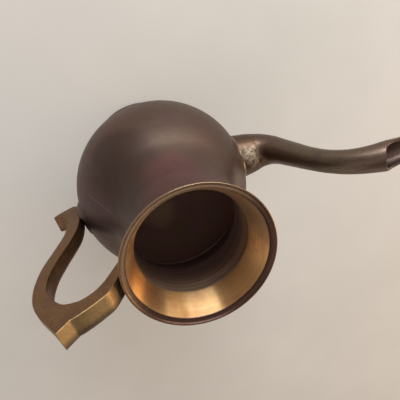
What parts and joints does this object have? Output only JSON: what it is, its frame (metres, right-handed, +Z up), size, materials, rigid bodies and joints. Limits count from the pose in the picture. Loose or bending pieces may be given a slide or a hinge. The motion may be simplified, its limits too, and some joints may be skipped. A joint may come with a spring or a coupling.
{
  "type": "jug",
  "caption": "Round-bodied metal jug with a flared mouth, a curved spout, a cast handle and a turned foot.",
  "frame": {"origin": "on the table plane, under the middle of the jug's outline seen from above", "axes": "+X from the handle towards the spout, +Y to the left of the pouring direction, +Z up out of the mouth"},
  "size_m": [0.152, 0.076, 0.1233],
  "materials": {
    "patina": "dark brown patina, satin",
    "worn": "worn golden brown, satin",
    "polished": "brushed by turning, semi-bright",
    "braze": "pale, pitted"
  },
  "bodies": {
    "root": {"bowl": "patina", "shoulder": "patina", "seam_braze": "patina", "mouth": "polished", "mouth_braze": "patina", "foot": "patina", "foot_braze": "braze", "spout_left_half": "patina", "spout_right_half": "patina", "spout_braze": "braze", "handle": "worn", "handle_lower_braze": "patina", "handle_upper_braze": "patina"}
  },
  "joints": []
}
